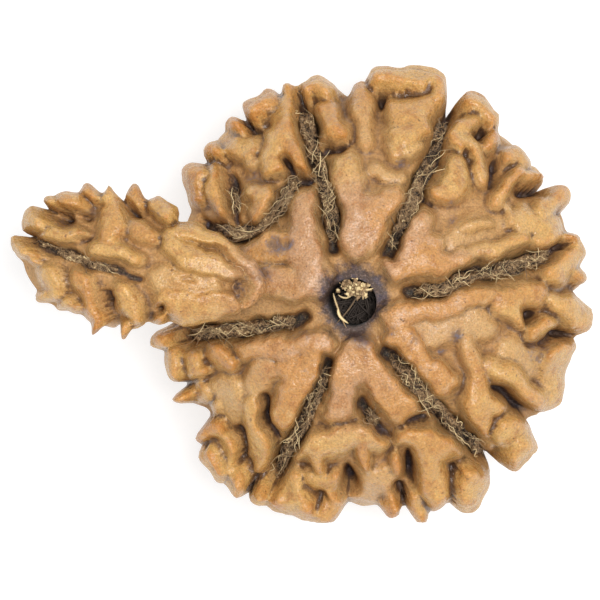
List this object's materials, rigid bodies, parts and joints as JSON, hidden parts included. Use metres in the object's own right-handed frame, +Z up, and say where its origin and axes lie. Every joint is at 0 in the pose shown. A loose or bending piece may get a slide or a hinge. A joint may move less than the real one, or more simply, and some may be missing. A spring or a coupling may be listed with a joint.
{
  "type": "double rudraksha seed",
  "caption": "Ribbed, knobbly bead-sized seed with a stringing hole down its middle and a slim second seed grown onto its shoulder.",
  "frame": {"origin": "on the surface that the seed rests on, under the middle of its outline seen from above", "axes": "+X from the slim seed's far end towards the large seed, along the longest extent; +Z up, near the stringing hole's axis and along the shortest extent"},
  "size_m": [0.0354, 0.0279, 0.0225],
  "materials": {
    "seed_skin": "waxy satin, oiled"
  },
  "bodies": {
    "root": {"rudraksha_seed": "seed_skin"}
  },
  "joints": []
}
